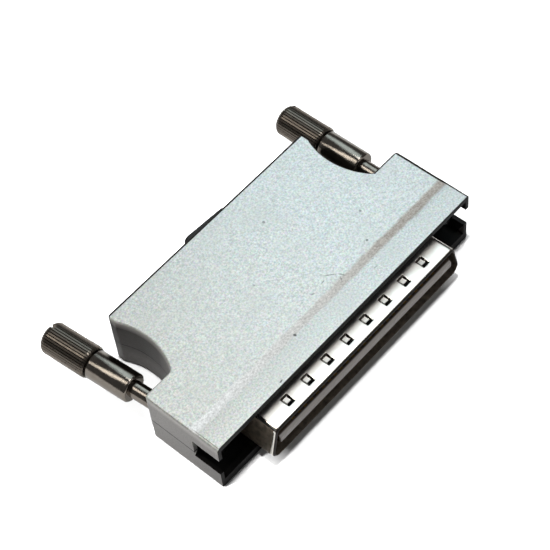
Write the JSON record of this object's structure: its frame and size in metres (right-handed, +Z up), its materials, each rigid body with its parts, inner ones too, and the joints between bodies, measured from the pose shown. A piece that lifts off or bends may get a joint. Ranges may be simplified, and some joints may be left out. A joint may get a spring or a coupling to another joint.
{
  "type": "ribbon plug with cable hood",
  "caption": "Flat two-cover cable hood with finger scallops in its sides, a ribbon plug in a drawn sheet shell at its front and a captive knurled thumbscrew in each ear.",
  "frame": {"origin": "middle of the base face, level with the rear edges of the ears", "axes": "+X across the hood from the left to the right ear, -Y towards the mating socket, +Y along the cable, +Z up from the base"},
  "size_m": [0.0559, 0.037, 0.0105],
  "materials": {
    "painted_cover": "silver grey paint on black moulding",
    "plated_shell": "bright nickel on drawn sheet",
    "plated_sheet": "plated sheet",
    "housing": "dark brown moulding",
    "contact": "plated strip",
    "divider": "pale moulding",
    "spring_steel": "spring sheet",
    "screw_steel": "black nickel on turned steel",
    "bushing": "black rubber",
    "small_steel": "plated steel",
    "insert_brass": "plain turned brass"
  },
  "bodies": {
    "hood": {"upper_cover": "painted_cover", "lower_cover": "painted_cover", "plug_shell": "plated_shell", "rear_frame": "plated_sheet", "shell_rivets": "plated_sheet", "contact_housing": "housing", "upper_contacts": "contact", "lower_contacts": "contact", "tail_divider": "divider", "cable_bushing": "bushing", "clamp_lower": "plated_sheet", "clamp_upper": "plated_sheet", "clamp_screws": "small_steel", "clamp_nuts": "small_steel", "cover_inserts": "insert_brass", "cover_screws": "small_steel"},
    "left_slider": {"left_clip": "spring_steel"},
    "left_screw": {"left_thumbscrew": "screw_steel"},
    "right_slider": {"right_clip": "spring_steel"},
    "right_screw": {"right_thumbscrew": "screw_steel"}
  },
  "joints": [
    {"name": "left_screw_slide", "type": "slide", "parent": "hood", "child": "left_slider", "axis": [0.0785, -0.9969, 0], "range_m": [0, 0.0042]},
    {"name": "left_screw_turn", "type": "hinge", "parent": "left_slider", "child": "left_screw", "pos_m": [-0.0247, 0, 0.0051], "axis": [0.0785, -0.9969, 0], "continuous": true},
    {"name": "right_screw_slide", "type": "slide", "parent": "hood", "child": "right_slider", "axis": [0, -1, 0], "range_m": [0, 0.0042]},
    {"name": "right_screw_turn", "type": "hinge", "parent": "right_slider", "child": "right_screw", "pos_m": [0.0247, 0, 0.0051], "axis": [0, -1, 0], "continuous": true}
  ]
}
